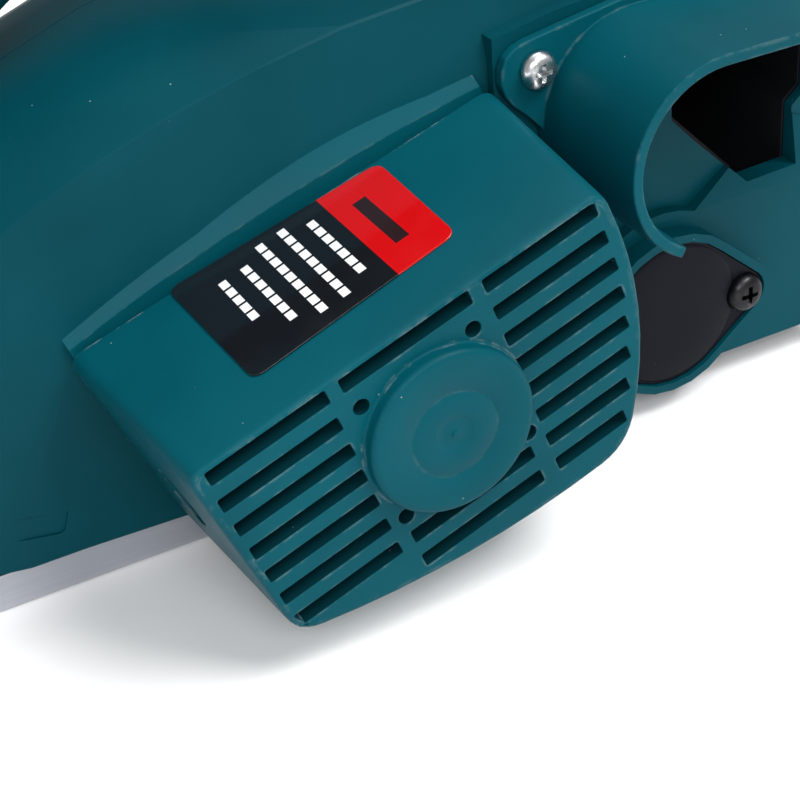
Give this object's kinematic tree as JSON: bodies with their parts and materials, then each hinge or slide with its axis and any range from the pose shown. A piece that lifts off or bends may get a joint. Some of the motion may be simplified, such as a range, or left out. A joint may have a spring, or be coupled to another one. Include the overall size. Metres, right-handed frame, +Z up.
{
  "type": "electric hand planer",
  "caption": "Compact electric hand planer: belt-driven cutter drum, tilted motor casing with grille, side chip hood, adjustable front shoe and loop handle with trigger.",
  "frame": {"origin": "on the rear sole's flat face, on the sole's centre line", "axes": "+X is the cutting direction, +Y the belt side, +Z up out of the sole"},
  "size_m": [0.286, 0.1644, 0.1709],
  "materials": {
    "teal_plastic": "fine moulded texture, satin",
    "black_plastic": "satin moulded",
    "cover_black": "semi-gloss moulded",
    "aluminium": "machined and brushed",
    "drum_metal": "turned",
    "steel": "turned steel",
    "blade_steel": "ground edge",
    "lamination": "stacked sheet",
    "copper": "enamelled copper",
    "brass": "stamped brass",
    "carbon": "pressed carbon",
    "rubber": "matt rubber",
    "zinc": "zinc plated",
    "black_screw": "blackened steel",
    "label_film": "printed film, red and black",
    "cap_grey": "moulded cap"
  },
  "bodies": {
    "body": {"housing_right": "teal_plastic", "housing_left": "teal_plastic", "motor_housing": "teal_plastic", "chip_hood": "teal_plastic", "air_baffle": "black_plastic", "brush_cap_front": "black_plastic", "brush_cap_rear": "black_plastic", "chip_chute": "black_plastic", "belt_cover": "black_plastic", "switch_body": "black_plastic", "bearing_cover": "cover_black", "rear_base": "aluminium", "guide_bracket": "aluminium", "scale_ring": "aluminium", "drum_bearing_right": "steel", "drum_bearing_left": "steel", "motor_bearing_right": "steel", "motor_bearing_left": "steel", "knob_spring": "steel", "handle_screw_1": "steel", "handle_screw_2": "steel", "handle_screw_3": "steel", "stator": "lamination", "field_coils": "copper", "brush_holder_front": "brass", "brush_holder_rear": "brass", "carbon_brush_front": "carbon", "carbon_brush_rear": "carbon", "drive_belt": "rubber", "cord_inlet": "rubber", "hood_screw": "zinc", "cover_screw_front": "black_screw", "cover_screw_rear": "black_screw", "belt_cover_screw_1": "black_screw", "belt_cover_screw_2": "black_screw", "belt_cover_screw_3": "black_screw", "label_plate": "label_film"},
    "cutter": {"cutter_drum": "drum_metal", "drum_pulley": "aluminium", "blade_upper": "blade_steel", "blade_lower": "blade_steel", "blade_clamp_upper": "steel", "blade_clamp_lower": "steel", "clamp_bolt_upper_1": "black_screw", "clamp_bolt_upper_2": "black_screw", "clamp_bolt_upper_3": "black_screw", "clamp_bolt_lower_1": "black_screw", "clamp_bolt_lower_2": "black_screw", "clamp_bolt_lower_3": "black_screw"},
    "rotor": {"armature": "steel", "commutator": "copper", "fan": "black_plastic", "motor_pulley": "steel"},
    "shoe": {"front_base": "aluminium", "depth_screw": "steel"},
    "knob": {"depth_knob": "black_plastic", "knob_cap": "cap_grey"},
    "trigger_lever": {"trigger": "black_plastic"},
    "lock": {"lock_button": "black_plastic"}
  },
  "joints": [
    {"name": "drum_spin", "type": "hinge", "parent": "body", "child": "cutter", "pos_m": [0.0325, 0, 0.0247], "axis": [0, 1, 0], "continuous": true},
    {"name": "rotor_spin", "type": "hinge", "parent": "body", "child": "rotor", "pos_m": [-0.0435, 0, 0.0451], "axis": [0, 1, 0], "continuous": true},
    {"name": "knob_turn", "type": "hinge", "parent": "body", "child": "knob", "pos_m": [0.113, 0, 0.053], "axis": [0, 0, 1], "range_deg": [0, 345]},
    {"name": "shoe_lift", "type": "slide", "parent": "body", "child": "shoe", "axis": [0, 0, 1], "range_m": [0, 0.001], "deforming": ["knob_spring"]},
    {"name": "trigger_pull", "type": "hinge", "parent": "body", "child": "trigger_lever", "pos_m": [-0.001, 0, 0.141], "axis": [0, 1, 0], "range_deg": [0, 7], "stiffness_Nm_per_rad": 1, "springref_deg": -8.59},
    {"name": "lock_press", "type": "slide", "parent": "body", "child": "lock", "axis": [0, 1, 0], "range_m": [0, 0.003], "stiffness_N_per_m": 300, "springref_m": -0.002}
  ],
  "couplings": [
    {"joint": "rotor_spin", "follows": "drum_spin", "ratio": 1.5455},
    {"joint": "knob_turn", "follows": "shoe_lift", "rad_per_m": 6021.3}
  ]
}
